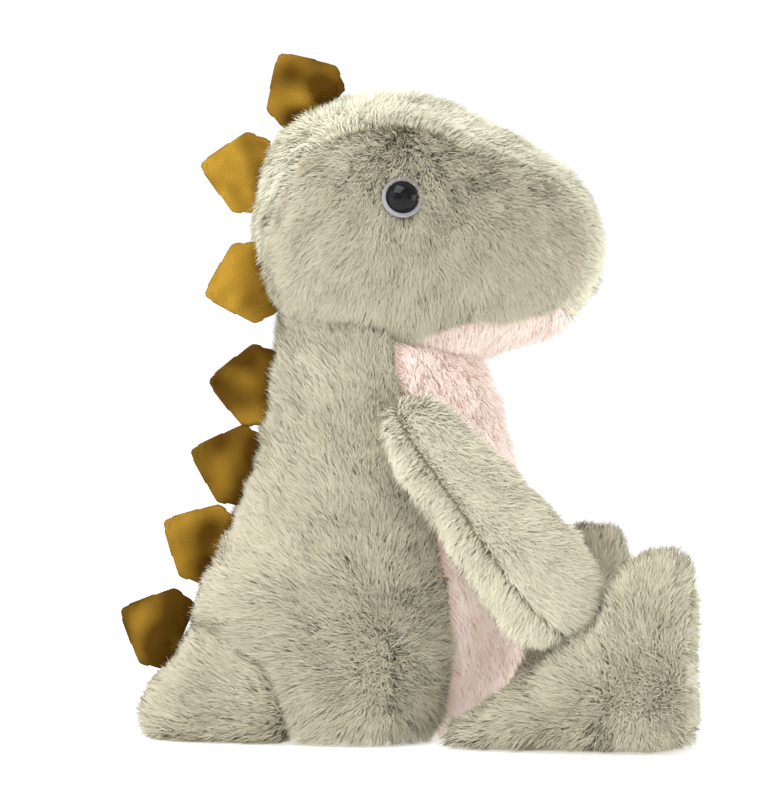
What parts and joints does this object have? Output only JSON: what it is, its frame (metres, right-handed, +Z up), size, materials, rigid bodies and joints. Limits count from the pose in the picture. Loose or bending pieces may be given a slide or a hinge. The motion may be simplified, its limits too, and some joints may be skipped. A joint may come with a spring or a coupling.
{
  "type": "stuffed dinosaur",
  "caption": "Sitting plush dinosaur with a round snouted head, soft arms and legs, a stub tail and a row of padded velvet back plates.",
  "frame": {"origin": "middle of the flat seat that the toy sits on, at the height of the surface under it", "axes": "+X the way the toy faces, +Y to its left, +Z up; the two sides mirror each other across Y = 0"},
  "size_m": [0.2088, 0.1798, 0.2574],
  "materials": {
    "sage_fur": "short soft pile, grey-green with paler tips",
    "peach_fur": "short soft pile, pale peach",
    "gold_velvet": "short napped velvet with fine ribs",
    "fibre_filling": "loose white fibre",
    "pellet_pouch": "plain woven pouch of pellets",
    "eye_black": "polished",
    "felt": "matte felt",
    "washer_plastic": "moulded"
  },
  "bodies": {
    "torso": {"torso_side_right": "sage_fur", "torso_side_left": "sage_fur", "belly_panel": "peach_fur", "seat_panel": "sage_fur", "torso_stuffing": "fibre_filling", "bean_bag": "pellet_pouch"},
    "neck": {"neck_stuffing": "fibre_filling"},
    "head": {"head_side_right": "sage_fur", "head_side_left": "sage_fur", "head_gusset": "sage_fur", "chin_panel": "peach_fur", "head_stuffing": "fibre_filling", "eye_right": "eye_black", "eye_left": "eye_black", "eye_ring_right": "felt", "eye_ring_left": "felt", "eye_washer_right": "washer_plastic", "eye_washer_left": "washer_plastic"},
    "arm_right": {"arm_outer_right": "sage_fur", "arm_inner_right": "sage_fur", "arm_stuffing_right": "fibre_filling"},
    "arm_left": {"arm_outer_left": "sage_fur", "arm_inner_left": "sage_fur", "arm_stuffing_left": "fibre_filling"},
    "leg_right": {"leg_outer_right": "sage_fur", "leg_inner_right": "sage_fur", "foot_sole_right": "sage_fur", "leg_stuffing_right": "fibre_filling"},
    "leg_left": {"leg_outer_left": "sage_fur", "leg_inner_left": "sage_fur", "foot_sole_left": "sage_fur", "leg_stuffing_left": "fibre_filling"},
    "tail": {"tail_side_right": "sage_fur", "tail_side_left": "sage_fur", "tail_stuffing": "fibre_filling"},
    "plate_1": {"back_plate_1": "gold_velvet"},
    "plate_2": {"back_plate_2": "gold_velvet"},
    "plate_3": {"back_plate_3": "gold_velvet"},
    "plate_4": {"back_plate_4": "gold_velvet"},
    "plate_5": {"back_plate_5": "gold_velvet"},
    "plate_6": {"back_plate_6": "gold_velvet"},
    "plate_7": {"back_plate_7": "gold_velvet"}
  },
  "joints": [
    {"name": "head_turn", "type": "hinge", "parent": "torso", "child": "neck", "pos_m": [-0.0058, 0, 0.1906], "axis": [0.1805, 0, 0.9836], "range_deg": [-20, 20], "stiffness_Nm_per_rad": 0.5},
    {"name": "head_nod", "type": "hinge", "parent": "neck", "child": "head", "pos_m": [-0.0058, 0, 0.1906], "axis": [0, 1, 0], "range_deg": [-5, 5], "stiffness_Nm_per_rad": 0.5},
    {"name": "arm_spread_right", "type": "hinge", "parent": "torso", "child": "arm_right", "pos_m": [-0.0095, -0.045, 0.126], "axis": [-1, 0, 0], "range_deg": [0, 70], "stiffness_Nm_per_rad": 0.1},
    {"name": "arm_spread_left", "type": "hinge", "parent": "torso", "child": "arm_left", "pos_m": [-0.0095, 0.045, 0.126], "axis": [1, 0, 0], "range_deg": [0, 70], "stiffness_Nm_per_rad": 0.1},
    {"name": "leg_swing_right", "type": "hinge", "parent": "torso", "child": "leg_right", "pos_m": [0.011, -0.0445, 0], "axis": [0, 0, -1], "range_deg": [-6, 3], "stiffness_Nm_per_rad": 0.2},
    {"name": "leg_swing_left", "type": "hinge", "parent": "torso", "child": "leg_left", "pos_m": [0.011, 0.0445, 0], "axis": [0, 0, 1], "range_deg": [-6, 3], "stiffness_Nm_per_rad": 0.2},
    {"name": "tail_sway", "type": "hinge", "parent": "torso", "child": "tail", "pos_m": [-0.058, 0, 0], "axis": [0, 0, 1], "range_deg": [-10, 10], "stiffness_Nm_per_rad": 0.3},
    {"name": "plate_1_flop", "type": "hinge", "parent": "head", "child": "plate_1", "pos_m": [-0.0372, 0, 0.239], "axis": [-0.848, 0, -0.5299], "range_deg": [-25, 25], "stiffness_Nm_per_rad": 0.01},
    {"name": "plate_2_flop", "type": "hinge", "parent": "head", "child": "plate_2", "pos_m": [-0.0573, 0, 0.2124], "axis": [-0.1736, 0, -0.9848], "range_deg": [-25, 25], "stiffness_Nm_per_rad": 0.01},
    {"name": "plate_3_flop", "type": "hinge", "parent": "head", "child": "plate_3", "pos_m": [-0.0561, 0, 0.1737], "axis": [0.2756, 0, -0.9613], "range_deg": [-25, 25], "stiffness_Nm_per_rad": 0.01},
    {"name": "plate_4_flop", "type": "hinge", "parent": "torso", "child": "plate_4", "pos_m": [-0.0542, 0, 0.1324], "axis": [-0.1132, 0, -0.9936], "range_deg": [-25, 25], "stiffness_Nm_per_rad": 0.01},
    {"name": "plate_5_flop", "type": "hinge", "parent": "torso", "child": "plate_5", "pos_m": [-0.0616, 0, 0.1014], "axis": [-0.309, 0, -0.9511], "range_deg": [-25, 25], "stiffness_Nm_per_rad": 0.01},
    {"name": "plate_6_flop", "type": "hinge", "parent": "torso", "child": "plate_6", "pos_m": [-0.0738, 0, 0.071], "axis": [-0.4848, 0, -0.8746], "range_deg": [-25, 25], "stiffness_Nm_per_rad": 0.01},
    {"name": "plate_7_flop", "type": "hinge", "parent": "tail", "child": "plate_7", "pos_m": [-0.0895, 0, 0.0393], "axis": [-0.4226, 0, -0.9063], "range_deg": [-25, 25], "stiffness_Nm_per_rad": 0.01}
  ]
}
